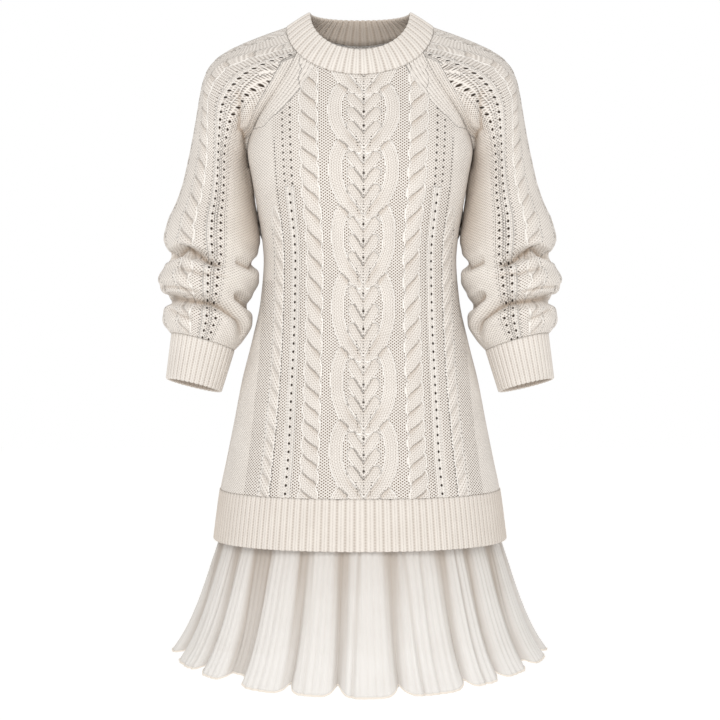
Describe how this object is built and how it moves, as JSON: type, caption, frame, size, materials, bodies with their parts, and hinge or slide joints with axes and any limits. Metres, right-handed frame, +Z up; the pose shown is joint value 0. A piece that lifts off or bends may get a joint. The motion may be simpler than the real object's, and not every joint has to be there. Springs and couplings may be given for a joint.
{
  "type": "sweater dress",
  "caption": "Cable-knit raglan sweater dress filled out as worn, ribbed collar, pushed-up sleeves, ribbed hem band and a pleated sheer flounce.",
  "frame": {"origin": "middle of the neck, level with the collar seam on top of the shoulders, where the wearer's shoulders hold the dress", "axes": "+Z up along the wearer, the front faces -Y, the wearer's left is +X"},
  "size_m": [0.5196, 0.368, 0.865],
  "materials": {
    "knit": "matt ivory wool-blend cable knit with a slight fuzz",
    "rib": "matt ivory wool-blend rib knit",
    "chiffon": "sheer off-white crinkle chiffon in accordion pleats, narrow rolled hem"
  },
  "bodies": {
    "root": {"front": "knit", "back": "knit", "sleeve_left": "knit", "sleeve_right": "knit", "collar": "rib", "cuff_left": "rib", "cuff_right": "rib", "hem_band": "rib", "flounce": "chiffon"}
  },
  "joints": []
}
